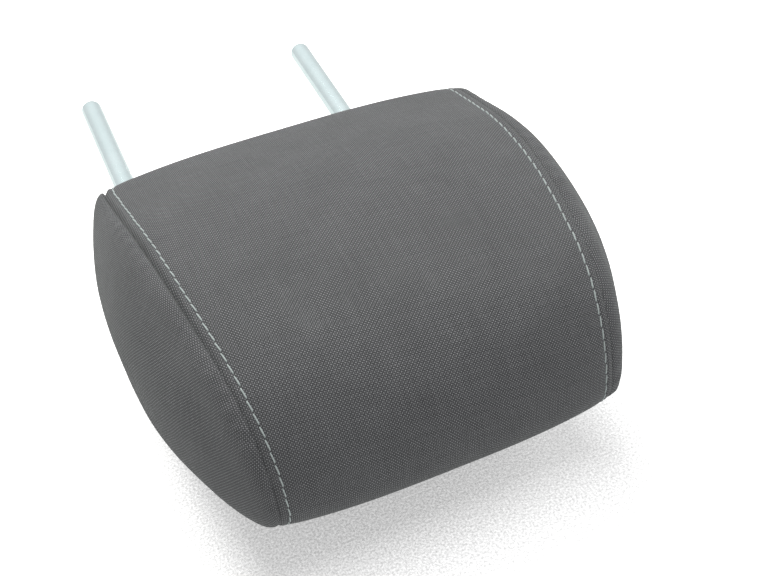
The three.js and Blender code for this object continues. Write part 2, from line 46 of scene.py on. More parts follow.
# Padded body, seen from the side. Each corner has its place (y, z) and its rounding radius.
HALF_HEIGHT = 97.0
BACK_LIFT = 2.6
SECTION_CORNERS = [
    ((98.0, 114.0), 20.0),
    ((0.0, 137.0), 180.0),
    ((-91.0, 113.0), 56.0),
    ((-HALF_HEIGHT, 57.0), 20.0),
    ((5.0, BACK_LIFT), 72.0),
    ((92.0, BACK_LIFT), 25.0),
]
SECTION_MIDDLE_Z = 68.6
ARC_STEPS = 24

# Padded body, seen from the front
SEAM_HALF_WIDTH = 84.6
SEAM_WIDEN = 9.4
SEAM_BOW = 3.3
SEAM_TUCK = 3.8
SEAM_TUCK_START = 0.76
CROWN = 0.052
CROWN_POWER = 3
SIDE_BULGE = 20.6
SIDE_CORE = 12.5
SIDE_ROUNDNESS = 1.78
SIDE_RUN_PER_BULGE = 1.3

# Where the side panels are fuller or flatter, as shares of their bulge
SIDE_FULLNESS = 0.11
FRONT_FULLNESS = 0.24
FRONT_FULLNESS_HEIGHT = 0.35
UNEVEN_FULLNESS = 0.06
POST_END_LOSS = 0.4
POST_END_LOSS_RIGHT = 0.32
RIGHT_LOSS_START = 0.3
LEAST_FULLNESS = -0.12

# Sewn cover: a crease at each seam, a raised lip up to the stitches, and on the side panel a puckered
# roll and a shallow valley behind it
SEAM_DIP = 0.7
SEAM_DIP_WIDTH = 5.0
CREASE_DEPTH = 1.9
CREASE_WIDTH = 0.95
CREASE_FADE_START = -20.0
CREASE_FADE_LENGTH = 65.0
CREASE_RIGHT_SHARE = 0.3
CREASE_HEAD_SHARE = 0.3
LIP_LIFT = 0.35
LIP_CENTRE = 1.9
LIP_WIDTH = 1.1
STITCH_INSET = 3.9
STITCH_DIP = 0.35
STITCH_DIP_WIDTH = 0.9
STITCH_PITCH = 5.4
ROLL_LIFT = 0.5
ROLL_CENTRE = 5.0
ROLL_WIDTH = 3.5
VALLEY_DEPTH = 3.0
VALLEY_CENTRE = 15.0
VALLEY_WIDTH = 7.0
VALLEY_FADE_START = 20.0
VALLEY_FADE_LENGTH = 80.0
VALLEY_LOW_Z = 55.0
VALLEY_HIGH_Z = 115.0
PUCKER_DEPTH = 0.3
PUCKER_CENTRE = 3.6
PUCKER_WIDTH = 2.8
PUCKER_COUNT = 61
PUCKER_SLOW_DRIFT = 1.4
PUCKER_SLOW_WAVES = 3
PUCKER_FAST_DRIFT = 0.9
PUCKER_FAST_WAVES = 8
PUCKER_FAST_START = 1
PUCKER_STRENGTH = 0.55
PUCKER_SWING = 0.45
PUCKER_SWING_WAVES = 5
PUCKER_SWING_START = 0.6

# Panels: their thickness and grids. NEAR_SEAM holds distances from the seam. Each row turned in along
# an edge has a depth under the cloth and a shift away from the seam.
CLOTH_THICKNESS = 1.4
SLIT_GAP = 1.2
GRID_STEP = 1.5
INNER_STEP = 5.0
NEAR_SEAM = [
    0, 0.3, 0.6, 1.0, 1.4, 1.9, 2.4, 2.9, 3.3, 3.6, 3.9, 4.2, 4.6, 5.2, 6, 7, 8.5, 10.5, 13, 16, 20,
]
TURNED_IN = [(2.0, 0.25), (5.0, 0.5)]
SIDE_ROWS = 30
SIDE_ROW_POWER = 1.5

# Cloth simulation on coarse copies of the panels
CLOTH_STEP = 5.0
CLOTH_COLUMNS = 37
CLOTH_RINGS = 13
CLOTH_FRAMES = 16
CLOTH_LIMIT = 1.0
CENTRE_PRESSURE = 1.2
SIDE_PRESSURE = 1.0
SEAM_PIN_REACH = 0.5
STITCH_PIN = 0.9
STITCH_PIN_WIDTH = 1.5
GROWTH_CENTRE = 5.0
GROWTH_WIDTH = 10.0
SIDE_GROWTH_SHARE = 0.4
TIMES_FINER = 3
SMOOTHING_PASSES = 3
TINY = 1e-9
CLOTH_SETTINGS = {
    "quality": 6,
    "mass": 0.15,
    "tension_stiffness": 25,
    "compression_stiffness": 25,
    "shear_stiffness": 10,
    "bending_stiffness": 0.35,
    "tension_damping": 20,
    "compression_damping": 20,
    "shear_damping": 10,
    "air_damping": 3,
    "vertex_group_mass": "pins",
    "pin_stiffness": 1.0,
    "vertex_group_shrink": "growth",
    "shrink_min": 0.0,
    "shrink_max": -0.03,
    "use_pressure": True,
}

# Decorative thread. A stitch's line wanders a little from one stitch to the next, and its ends dive
# into the cloth and grow thinner.
THREAD_RADIUS = 0.34
THREAD_THINNING = 0.25
THREAD_THINNING_POWER = 4
STITCH_LENGTH = 4.7
STITCH_OVERRUN = 0.25
STITCH_SKEW = 0.22
STITCH_LIFT_SHARE = 0.62
STITCH_DIVE = 1.5
STITCH_DIVE_POWER = 7
QUICK_WANDER = 0.08
QUICK_WANDER_TURN = 1.7
SLOW_WANDER = 0.06
SLOW_WANDER_TURN = 0.61
SLOW_WANDER_START = 2
THREAD_SIDES = 10
THREAD_STEPS = 18
PLY_DEPTH = 0.12
PLY_TURNS = 2.2

# Post frame
POST_RADIUS = 6.25
POST_X = 71.0
POST_REACH = 186.0
POST_TILT = math.radians(7.2)
POST_EXIT_Z = 29.5
INNER_BEND_DEPTH = 16.0
INNER_BEND_RADIUS = 30.0
INNER_RISE = math.radians(25.0)
CROSSBAR_Y = -32.0
CROSSBAR_RADIUS = 24.0
NOTCH_COUNT = 3
NOTCH_PITCH = 20.0
NOTCH_RADIUS = 2.8
NOTCH_DEPTH = 1.8
FIRST_NOTCH = 74.0
NOTCH_MARGIN = 6.0
NOTCH_STEP = 0.4
ROD_SIDES = 48
ROD_STEP = 6.0
TIP_FLAT_RADIUS = 2.6
TIP_STEPS = 12

# Bushes round the posts. The flange's edge is given as distances in from its rim and up from its foot,
# and its mouth as distances out from the bore and up from the foot.
BUSH_FLANGE_RADIUS = 14.5
BUSH_FLANGE_THICKNESS = 2.6
BUSH_SLEEVE_RADIUS = 9.4
BUSH_SLEEVE_DEPTH = 14.0
BUSH_CHAMFER = 0.5
BUSH_FIT = 0.12
BUSH_SIDES = 64
BUSH_EDGE = [
    (0.3, 0), (0, 0.25), (0, 0.9), (0.35, 1.55), (1.1, 2.15), (2.3, 2.5), (3.6, BUSH_FLANGE_THICKNESS),
]
BUSH_MOUTH = [(1.5, BUSH_FLANGE_THICKNESS), (0.7, 2.3), (0, 1.5)]
BORE_REACH = 0.8
CLEARANCE = 0.35

# Foam
FOAM_SIDE_SHARE = 0.75
FOAM_VOXEL = 2.6
FOAM_SOFTENING = 0.5
FOAM_SOFTENING_PASSES = 2

# Woven cloth, with its map in millimetres. A crossing below shows at BELOW_SHARE of one on top, and
# each range scales the colour. WEAVE_HEIGHT is in metres. A crossing on top gets a painted highlight,
# and a thread below gets painted shade.
WARP_PITCH = 0.77
WEFT_PITCH = 0.752
WEAVE_SKEW = 0.07
SIDE_GRAIN = math.radians(6)
WEAVE_WOBBLE = 2.0
WEAVE_WOBBLE_SCALE = 0.02
BELOW_SHARE = 0.4
DOT_EDGE = 0.8
STREAK_SCALE = 0.9
STREAK_STRETCH = 0.05
STREAK_RANGE = (0.86, 1.14)
PATCH_SCALE = 0.035
PATCH_RANGE = (0.94, 1.06)
SPECKLE_SCALE = 1.9
SPECKLE_RANGE = (0.84, 1.16)
SPECKLE_HEIGHT = 0.35
WEAVE_HEIGHT = 0.14 * MM
# Painted highlight on the crossings on top, and painted shade on the threads below them
FABRIC_CROSSING_PAINTED_LIGHT = (0.312, 0.316, 0.326)
FABRIC_GAP_PAINTED_SHADE = (0.066, 0.067, 0.071)

# Colours of the other materials, and the scales of their grain per metre
FIBRE_SCALE = 1400.0
THREAD_PATCH_SCALE = 90.0
DRAWN_LINE_SCALE = (900.0, 18.0, 900.0)
HANDLING_SCALE = 60.0
PLASTIC_TONE_SCALE = 40.0
PORE_SCALE = 900.0
FOAM_PATCH_SCALE = 30.0
SPOT_SCALE = 500.0
TRIM_GRAIN_SCALE = 1500.0
TRIM_ROUGHNESS = 0.5
INSERT_GRAIN_SCALE = 700.0
INSERT_ROUGHNESS = 0.58
THREAD_DARK = (0.37, 0.43, 0.43)
THREAD_LIGHT = (0.64, 0.70, 0.69)
THREAD_PATCH = (0.46, 0.51, 0.51)
PLATING_CLEAN = (0.75, 0.86, 0.87)
PLATING_HANDLED = (0.69, 0.81, 0.82)
TRIM_DARK = (0.018, 0.019, 0.021)
TRIM_LIGHT = (0.028, 0.029, 0.031)
INSERT_DARK = (0.028, 0.030, 0.034)
INSERT_LIGHT = (0.042, 0.044, 0.048)
FOAM_DARK = (0.62, 0.55, 0.30)
FOAM_LIGHT = (0.74, 0.67, 0.40)
# Painted shade inside the foam's pores
FOAM_PORE_PAINTED_SHADE = (0.30, 0.25, 0.12)
SCREW_DARK = (0.34, 0.35, 0.36)
SCREW_LIGHT = (0.55, 0.55, 0.53)

# Floor, lights and surroundings, in metres. The floor glows less near the pad, so its shadow shows.
FLOOR_SIZE = 6.0
FLOOR_LIFT = 0.41
FLOOR_MIRRORED = 0.1
FLOOR_GLOW_WIDTH = 0.064
FLOOR_GRAIN_SCALE = 900.0
FLOOR_TONES = (0.74, 0.9)
FLOOR_LIFT_RANGE = (0.7, 1.3)
PAD_Y = -0.09
PAD_HALF_WIDTH = 0.08
PAD_HALF_HEIGHT = 0.07
LIGHT_AIM = (0, -0.05, 0.05)
KEY_PLACE = (-0.18, 0.58, 1.6)
KEY_SIZE = 1.1
KEY_POWER = 20.5
KEY_COLOUR = (1.0, 1.0, 0.965)
FILL_PLACE = (1.3, -0.6, 1.1)
FILL_SIZE = 1.4
FILL_POWER = 6
FILL_COLOUR = (1.0, 1.0, 1.0)
WORLD_LIGHT = 0.375
HORIZON = 0.8
BRIGHTENING_START = 0.2
BRIGHTENING_END = 0.85

# Camera, worked out from the photograph
CAMERA_AIM = (33.769, -30.692, 23.519)
CAMERA_AZIMUTH = math.radians(-20.221)
CAMERA_ELEVATION = math.radians(40.072)
CAMERA_ROLL = math.radians(-5.576)
CAMERA_DISTANCE = 616.326
CAMERA_LENS = 53.648


# Geometry of the padded body

def unit(vector):
    return vector / np.linalg.norm(vector)


def rounded_corner(before, corner, after, radius):
    """Points of the arc that rounds a corner, in any number of dimensions."""
    to_before = unit(before - corner)
    to_after = unit(after - corner)
    half = math.acos(float(np.clip(to_before @ to_after, -1, 1))) / 2
    centre = corner + unit(to_before + to_after) * radius / math.sin(half)
    tangent = radius / math.tan(half)
    first = corner + to_before * tangent - centre
    last = corner + to_after * tangent - centre
    turn = math.pi - 2 * half
    shares = np.linspace(0, 1, ARC_STEPS + 1)[:, None]
    return centre + (first * np.sin((1 - shares) * turn) + last * np.sin(shares * turn)) / math.sin(turn)


def slit_point():
    """Place (y, z) of the cover's slit, on the face that the posts leave."""
    low = np.array(SECTION_CORNERS[-1][0])
    high = np.array(SECTION_CORNERS[0][0])
    share = (POST_EXIT_Z - low[1]) / (high[1] - low[1])
    return low + (high - low) * share


def section_chain():
    """The side section's rounded outline, from the slit over the front and the back to the slit."""
    slit = slit_point()
    corners = [np.array(spot) for spot, _ in SECTION_CORNERS]
    chain = [slit[None]]
    for index, (spot, radius) in enumerate(SECTION_CORNERS):
        before = corners[index - 1] if index else slit
        after = corners[index + 1] if index < len(corners) - 1 else slit
        chain.append(rounded_corner(before, np.array(spot), after, radius))
    chain.append(slit[None])
    return np.vstack(chain)


CHAIN = section_chain()
CHAIN_LENGTHS = np.append(0, np.cumsum(np.linalg.norm(np.diff(CHAIN, axis=0), axis=1)))
OUTLINE_LENGTH = CHAIN_LENGTHS[-1]


def section_at(distance):
    """Points (y, z) of the side section at distances along it from the slit."""
    wrapped = np.mod(distance, OUTLINE_LENGTH)
    return (
        np.interp(wrapped, CHAIN_LENGTHS, CHAIN[:, 0]),
        np.interp(wrapped, CHAIN_LENGTHS, CHAIN[:, 1]),
    )


def seam_half_width(y):
    """Distance of the seams from the middle plane, at places along the pad."""
    share = y / HALF_HEIGHT
    tucked = np.maximum(0, (share - SEAM_TUCK_START) / (1 - SEAM_TUCK_START))
    bowed = SEAM_BOW * (1 - share * share)
    return SEAM_HALF_WIDTH + SEAM_WIDEN * share + bowed - SEAM_TUCK * tucked * tucked


def bump(distance, centre, width):
    """A smooth hill of height 1."""
    return np.exp(-(((distance - centre) / width) ** 2))


def puckers(distance, side):
    """Uneven gathers along a seam, the same where the outline closes."""
    turn = 2 * math.pi * distance / OUTLINE_LENGTH
    slow = PUCKER_SLOW_DRIFT * np.sin(PUCKER_SLOW_WAVES * turn + side)
    fast = PUCKER_FAST_DRIFT * np.sin(PUCKER_FAST_WAVES * turn + PUCKER_FAST_START)
    drift = slow + fast
    swing = np.sin(PUCKER_SWING_WAVES * turn + PUCKER_SWING_START + 2 * side)
    strength = PUCKER_STRENGTH + PUCKER_SWING * swing
    return strength * np.sin(PUCKER_COUNT * turn + drift)


def body_points(distance, across, depth=0.0, shift=0.0):
    """Points of the padded body: the solids' form, fitted more closely, with the seams' finer forms.

    `distance` runs along the side section. `across` is 0 in the middle, 1 at a seam and 2 at the middle
    of a side panel, and below 0 on the left. `depth` goes under the surface, and `shift` outward.
    """
    y0, z0 = section_at(distance)
    side = np.where(across < 0, -1.0, 1.0)
    reach = np.abs(across)
    panel = np.minimum(reach, 1)
    cap = np.clip(reach - 1, 0, 1)
    open_share = np.power(1 - np.power(cap, SIDE_ROUNDNESS), 1 / SIDE_ROUNDNESS)
    rim = np.hypot(y0, z0 - SECTION_MIDDLE_Z)
    from_seam = np.where(reach < 1, (1 - reach) * SEAM_HALF_WIDTH, cap * SIDE_BULGE * SIDE_RUN_PER_BULGE)
    on_panel = STITCH_DIP * bump(from_seam, STITCH_INSET, STITCH_DIP_WIDTH)
    on_panel = on_panel - LIP_LIFT * bump(from_seam, LIP_CENTRE, LIP_WIDTH)
    valley = np.clip((VALLEY_FADE_START - y0) / VALLEY_FADE_LENGTH, 0, 1)
    valley = valley * np.clip((z0 - VALLEY_LOW_Z) / (VALLEY_HIGH_Z - VALLEY_LOW_Z), 0, 1)
    on_side = VALLEY_DEPTH * valley * bump(from_seam, VALLEY_CENTRE, VALLEY_WIDTH)
    on_side = on_side - ROLL_LIFT * bump(from_seam, ROLL_CENTRE, ROLL_WIDTH)
    gather = PUCKER_DEPTH * bump(from_seam, PUCKER_CENTRE, PUCKER_WIDTH)
    on_side = on_side + gather * puckers(distance, side)
    towards_posts = np.clip(1 + (y0 - CREASE_FADE_START) / CREASE_FADE_LENGTH, 0, 1)
    crease = CREASE_HEAD_SHARE + (1 - CREASE_HEAD_SHARE) * towards_posts
    crease = CREASE_DEPTH * crease * np.where(side > 0, CREASE_RIGHT_SHARE, 1.0)
    dip = SEAM_DIP * bump(from_seam, 0, SEAM_DIP_WIDTH) + crease * bump(from_seam, 0, CREASE_WIDTH)
    inward = depth + dip + np.where(reach < 1, on_panel, np.where(reach > 1, on_side, 0))
    on_panel_radius = rim * (1 + CROWN * (1 - panel**CROWN_POWER))
    on_side_radius = SIDE_CORE + (rim - SIDE_CORE) * open_share
    radius = np.where(reach > 1, on_side_radius, on_panel_radius) - inward * open_share
    y = y0 / rim * radius
    z = SECTION_MIDDLE_Z + (z0 - SECTION_MIDDLE_Z) / rim * radius
    share = y / HALF_HEIGHT
    to_posts = np.maximum(0, share)
    fullness = SIDE_FULLNESS * (1 - to_posts**2) - POST_END_LOSS * to_posts**3
    right_loss = POST_END_LOSS_RIGHT * np.maximum(0, share + RIGHT_LOSS_START) / (1 + RIGHT_LOSS_START)
    height = np.minimum(z / SECTION_MIDDLE_Z - 1, FRONT_FULLNESS_HEIGHT)
    fullness = fullness + FRONT_FULLNESS * height + UNEVEN_FULLNESS * side - right_loss * (side > 0)
    bulge = SIDE_BULGE * (1 + np.maximum(fullness, LEAST_FULLNESS))
    x = panel * seam_half_width(y) + bulge * cap - inward * np.sqrt(1 - open_share**2) + shift
    return np.stack([side * x, y, np.maximum(z, depth)], axis=-1)


# Meshes

def new_object(name, points, faces, uvs=None):
    """A mesh object from points in the body's frame. `uvs` gives one pair for each point."""
    placed = (np.asarray(points, dtype=float).reshape(-1, 3) + [0, BODY_Y, 0]) * MM
    mesh = bpy.data.meshes.new(name)
    mesh.from_pydata(placed.tolist(), [], [tuple(int(i) for i in face) for face in faces])
    if uvs is not None:
        layer = mesh.uv_layers.new(name="cloth")
        corners = np.empty(len(mesh.loops), dtype=np.int32)
        mesh.loops.foreach_get("vertex_index", corners)
        layer.data.foreach_set("uv", np.asarray(uvs, dtype=np.float32)[corners].ravel())
    mesh.update()
    mesh.shade_smooth()
    piece = bpy.data.objects.new(name, mesh)
    bpy.context.collection.objects.link(piece)
    return piece


def grid_faces(rows, columns, closed=False):
    """Quads of a grid. A closed grid joins its last column to its first."""
    faces = []
    last = columns if closed else columns - 1
    for row in range(rows - 1):
        for column in range(last):
            after = (column + 1) % columns
            a = row * columns + column
            b = row * columns + after
            faces.append((a, b, b + columns, a + columns))
    return faces


def outward(piece):
    """Turns a closed mesh's faces outward."""
    work = bmesh.new()
    work.from_mesh(piece.data)
    bmesh.ops.recalc_face_normals(work, faces=work.faces[:])
    work.to_mesh(piece.data)
    work.free()


def apply_modifiers(piece):
    """Bakes a piece's modifiers into its mesh."""
    bpy.context.view_layer.update()
    graph = bpy.context.evaluated_depsgraph_get()
    shaped = piece.evaluated_get(graph)
    baked = bpy.data.meshes.new_from_object(shaped, preserve_all_data_layers=True, depsgraph=graph)
    piece.modifiers.clear()
    old = piece.data
    piece.data = baked
    baked.name = piece.name
    bpy.data.meshes.remove(old)


def tube_points(path, radii, sides, start_side, wave=None):
    """Rings round a path. `wave` changes the radius by angle and ring."""
    path = np.asarray(path, dtype=float)
    tangents = np.gradient(path, axis=0)
    tangents /= np.linalg.norm(tangents, axis=1, keepdims=True)
    side = np.asarray(start_side, dtype=float)
    rings = []
    angles = (np.arange(sides) + 0.5) / sides * 2 * math.pi
    for index, (point, tangent) in enumerate(zip(path, tangents)):
        side = unit(side - tangent * (side @ tangent))
        up = np.cross(tangent, side)
        radius = radii[index] * (1 if wave is None else wave(angles, index))
        ring = point + np.outer(np.cos(angles) * radius, side) + np.outer(np.sin(angles) * radius, up)
        rings.append(ring)
    return np.array(rings)


def capped_tube(rings):
    """Points and faces of a closed tube through rings."""
    count, sides = rings.shape[:2]
    points = rings.reshape(-1, 3)
    faces = grid_faces(count, sides, closed=True)
    faces.append(tuple(range(sides - 1, -1, -1)))
    last = (count - 1) * sides
    faces.append(tuple(range(last, last + sides)))
    return points, faces


# Materials

class Nodes:
    """Builds a material's node tree in few words."""

    def __init__(self, name):
        self.material = bpy.data.materials.new(name)
        self.material.use_nodes = True
        self.tree = self.material.node_tree
        self.shader = self.tree.nodes["Principled BSDF"]

    def add(self, kind, **settings):
        node = self.tree.nodes.new(kind)
        for key, value in settings.items():
            setattr(node, key, value)
        return node

    def feed(self, socket, value):
        if isinstance(value, bpy.types.NodeSocket):
            self.tree.links.new(value, socket)
        else:
            socket.default_value = value

    def math(self, operation, *values):
        node = self.add("ShaderNodeMath", operation=operation)
        for socket, value in zip(node.inputs, values):
            self.feed(socket, value)
        return node.outputs[0]

    def mix(self, factor, first, second):
        node = self.add("ShaderNodeMix", data_type="RGBA")
        self.feed(node.inputs["Factor"], factor)
        self.feed(node.inputs[6], first if isinstance(first, bpy.types.NodeSocket) else (*first, 1))
        self.feed(node.inputs[7], second if isinstance(second, bpy.types.NodeSocket) else (*second, 1))
        return node.outputs[2]

    def noise(self, vector, scale, detail=2.0, roughness=0.5):
        node = self.add("ShaderNodeTexNoise")
        self.feed(node.inputs["Vector"], vector)
        node.inputs["Scale"].default_value = scale
        node.inputs["Detail"].default_value = detail
        node.inputs["Roughness"].default_value = roughness
        return node.outputs["Fac"]

    def span(self, value, low, high, to_low=0.0, to_high=1.0, smooth=False):
        node = self.add("ShaderNodeMapRange", interpolation_type="SMOOTHSTEP" if smooth else "LINEAR")
        for socket, given in zip(node.inputs, (value, low, high, to_low, to_high)):
            self.feed(socket, given)
        return node.outputs[0]

    def bump(self, height, distance, strength=1.0):
        node = self.add("ShaderNodeBump")
        node.inputs["Strength"].default_value = strength
        node.inputs["Distance"].default_value = distance
        self.feed(node.inputs["Height"], height)
        return node.outputs["Normal"]

    def place(self):
        return self.add("ShaderNodeTexCoord").outputs["Object"]

    def set(self, **values):
        for name, value in values.items():
            socket = self.shader.inputs[name.replace("_", " ")]
            if isinstance(value, tuple) and len(value) == 3:
                value = (*value, 1)
            self.feed(socket, value)
        return self.material


def woven_fabric():
    """Plain weave. The cloth's map is in millimetres. A crossing on top is painted lighter than one below:
    painted highlight on top, painted shade below.
    """
    n = Nodes("cover fabric")
    cloth = n.add("ShaderNodeUVMap", uv_map="cloth").outputs[0]
    split = n.add("ShaderNodeSeparateXYZ")
    n.feed(split.inputs[0], cloth)
    u, v = split.outputs[0], split.outputs[1]
    drift = n.math("SUBTRACT", n.noise(cloth, WEAVE_WOBBLE_SCALE), 0.5)
    wobble = n.math("MULTIPLY", drift, WEAVE_WOBBLE)
    warp = n.math("MULTIPLY", n.math("ADD", u, wobble), 1 / WARP_PITCH)
    skewed = n.math("SUBTRACT", v, n.math("MULTIPLY", u, WEAVE_SKEW))
    weft = n.math("MULTIPLY", n.math("ADD", skewed, wobble), 1 / WEFT_PITCH)
    warp_wave = n.math("SINE", n.math("MULTIPLY", warp, math.pi))
    weft_wave = n.math("SINE", n.math("MULTIPLY", weft, math.pi))
    over = n.math("MULTIPLY", warp_wave, weft_wave)
    crossing = n.math("MAXIMUM", over, n.math("MULTIPLY", over, -BELOW_SHARE))
    crossing_height_and_painted_light = n.span(crossing, 0.0, DOT_EDGE, smooth=True)
    along_warp = n.add("ShaderNodeCombineXYZ")
    n.feed(along_warp.inputs[0], warp)
    n.feed(along_warp.inputs[1], n.math("MULTIPLY", v, STREAK_STRETCH))
    along_weft = n.add("ShaderNodeCombineXYZ")
    n.feed(along_weft.inputs[0], n.math("MULTIPLY", u, STREAK_STRETCH))
    n.feed(along_weft.inputs[1], weft)
    warp_streaks = n.noise(along_warp.outputs[0], STREAK_SCALE)
    weft_streaks = n.noise(along_weft.outputs[0], STREAK_SCALE)
    streaks = n.span(n.math("ADD", warp_streaks, weft_streaks), 0.6, 1.4, *STREAK_RANGE)
    patches = n.span(n.noise(cloth, PATCH_SCALE, 3.0, 0.6), 0.3, 0.7, *PATCH_RANGE)
    speckle = n.noise(cloth, SPECKLE_SCALE, 1.0)
    level = n.math("MULTIPLY", streaks, patches)
    level = n.math("MULTIPLY", level, n.span(speckle, 0.3, 0.7, *SPECKLE_RANGE))
    # Painted light and shade of the weave: crossings on top lighter, the threads below darker
    colour = n.mix(crossing_height_and_painted_light, FABRIC_GAP_PAINTED_SHADE, FABRIC_CROSSING_PAINTED_LIGHT)
    scaled = n.add("ShaderNodeVectorMath", operation="SCALE")
    n.feed(scaled.inputs[0], colour)
    n.feed(scaled.inputs["Scale"], level)
    height = n.math("ADD", crossing_height_and_painted_light, n.math("MULTIPLY", speckle, SPECKLE_HEIGHT))
    normal = n.bump(height, WEAVE_HEIGHT, 0.8)
    return n.set(
        Base_Color=scaled.outputs[0], Roughness=0.9, Specular_IOR_Level=0.1, Normal=normal,
        Sheen_Weight=0.16, Sheen_Roughness=0.5, Sheen_Tint=(0.95, 1.0, 0.97),
    )


def thread_material():
    """Two-ply sewing thread with fine fibres."""
    n = Nodes("sewing thread")
    place = n.place()
    fibres = n.noise(place, FIBRE_SCALE, 3.0, 0.6)
    patches = n.noise(place, THREAD_PATCH_SCALE, 1.0)
    colour = n.mix(fibres, THREAD_DARK, THREAD_LIGHT)
    colour = n.mix(n.span(patches, 0.35, 0.65, 0.0, 0.35), colour, THREAD_PATCH)
    return n.set(
        Base_Color=colour, Roughness=0.62, Normal=n.bump(fibres, 0.00006),
        Sheen_Weight=0.35, Sheen_Roughness=0.4,
    )


def chrome():
    """Bright plating with faint drawing lines and light handling marks."""
    n = Nodes("post steel")
    place = n.place()
    stretched = n.add("ShaderNodeMapping")
    n.feed(stretched.inputs["Vector"], place)
    stretched.inputs["Scale"].default_value = DRAWN_LINE_SCALE
    lines = n.noise(stretched.outputs[0], 1.0, 2.0)
    marks = n.noise(place, HANDLING_SCALE, 4.0, 0.65)
    rough = n.math("ADD", n.span(lines, 0.3, 0.7, 0.09, 0.15), n.span(marks, 0.55, 0.75, 0.0, 0.1))
    colour = n.mix(n.span(marks, 0.4, 0.7), PLATING_CLEAN, PLATING_HANDLED)
    return n.set(Base_Color=colour, Metallic=1.0, Roughness=rough, Normal=n.bump(lines, 0.00001, 0.5))


def moulded_plastic(name, dark, light, grain, roughness):
    """Plastic with a fine moulded grain and a slightly uneven tone."""
    n = Nodes(name)
    place = n.place()
    fine = n.noise(place, grain, 3.0, 0.6)
    broad = n.noise(place, PLASTIC_TONE_SCALE)
    colour = n.mix(n.span(broad, 0.3, 0.7), dark, light)
    rough = n.span(fine, 0.3, 0.7, roughness - 0.08, roughness + 0.1)
    return n.set(Base_Color=colour, Roughness=rough, Normal=n.bump(fine, 0.00005, 0.6))


def foam_material():
    """Moulded foam with open pores, darkened with painted shade inside them."""
    n = Nodes("foam")
    place = n.place()
    cells = n.add("ShaderNodeTexVoronoi", feature="F1")
    n.feed(cells.inputs["Vector"], place)
    cells.inputs["Scale"].default_value = PORE_SCALE
    pores = n.span(cells.outputs["Distance"], 0.1, 0.6)
    patches = n.noise(place, FOAM_PATCH_SCALE, 3.0)
    colour = n.mix(n.span(patches, 0.3, 0.7), FOAM_DARK, FOAM_LIGHT)
    # The pores are darkened: painted shade in the holes
    colour = n.mix(n.math("MULTIPLY", n.math("SUBTRACT", 1.0, pores), 0.45), colour, FOAM_PORE_PAINTED_SHADE)
    return n.set(Base_Color=colour, Roughness=0.95, Normal=n.bump(pores, 0.0004), Sheen_Weight=0.15)


def plated_screw():
    """Dull zinc plating with fine spots."""
    n = Nodes("screw steel")
    place = n.place()
    spots = n.noise(place, SPOT_SCALE, 4.0, 0.7)
    colour = n.mix(spots, SCREW_DARK, SCREW_LIGHT)
    rough = n.span(spots, 0.3, 0.7, 0.28, 0.45)
    return n.set(Base_Color=colour, Metallic=1.0, Roughness=rough, Normal=n.bump(spots, 0.00002, 0.5))


FABRIC = woven_fabric()
THREAD = thread_material()
CHROME = chrome()
TRIM = moulded_plastic("trim plastic", TRIM_DARK, TRIM_LIGHT, TRIM_GRAIN_SCALE, TRIM_ROUGHNESS)
INSERT = moulded_plastic("insert plastic", INSERT_DARK, INSERT_LIGHT, INSERT_GRAIN_SCALE, INSERT_ROUGHNESS)
FOAM = foam_material()
SCREW = plated_screw()


def finish_piece(piece, material, slot, *nodes):
    """Gives a piece its material and its body, and hides the CAD nodes that it stands for."""
    piece.data.materials.clear()
    piece.data.materials.append(material)
    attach(piece, "root")
    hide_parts(*nodes)


# Sewn cover

def cloth_moves(points, faces, pins, growth, pressure):
    """How far a coarse panel's points move in Blender's Cloth, in millimetres, held to CLOTH_LIMIT."""
    piece = new_object("cloth_trial", points, faces)
    before = np.array([v.co[:] for v in piece.data.vertices])
    pin_group = piece.vertex_groups.new(name="pins")
    grow_group = piece.vertex_groups.new(name="growth")
    for index in range(len(before)):
        pin_group.add([index], float(pins[index]), "REPLACE")
        grow_group.add([index], float(growth[index]), "REPLACE")
    cloth = piece.modifiers.new("cloth", "CLOTH")
    settings = cloth.settings
    for key, value in CLOTH_SETTINGS.items():
        setattr(settings, key, value)
    settings.uniform_pressure_force = pressure
    settings.effector_weights.gravity = 0
    cloth.collision_settings.use_collision = False
    scene = bpy.context.scene
    scene.frame_start = 1
    scene.frame_end = CLOTH_FRAMES
    cloth.point_cache.frame_start = 1
    cloth.point_cache.frame_end = CLOTH_FRAMES
    for step in range(1, CLOTH_FRAMES + 1):
        scene.frame_set(step)
    graph = bpy.context.evaluated_depsgraph_get()
    after = np.array([v.co[:] for v in piece.evaluated_get(graph).to_mesh().vertices])
    scene.frame_set(1)
    mesh = piece.data
    bpy.data.objects.remove(piece)
    bpy.data.meshes.remove(mesh)
    move = (after - before) / MM
    size = np.linalg.norm(move, axis=1, keepdims=True)
    print("cloth moved up to", round(float(size.max()), 2), "mm")
    return move * CLOTH_LIMIT * np.tanh(size / CLOTH_LIMIT) / np.maximum(size, TINY)


def sample(field, rows, columns, distance, across):
    """Values of a field, given at rows and columns, at any places between them."""
    r = np.clip(np.searchsorted(rows, distance) - 1, 0, len(rows) - 2)
    c = np.clip(np.searchsorted(columns, across) - 1, 0, len(columns) - 2)
    t = np.clip((distance - rows[r]) / (rows[r + 1] - rows[r]), 0, 1)[..., None]
    w = np.clip((across - columns[c]) / (columns[c + 1] - columns[c]), 0, 1)[..., None]
    first = field[r, c] * (1 - w) + field[r, c + 1] * w
    second = field[r + 1, c] * (1 - w) + field[r + 1, c + 1] * w
    return first * (1 - t) + second * t


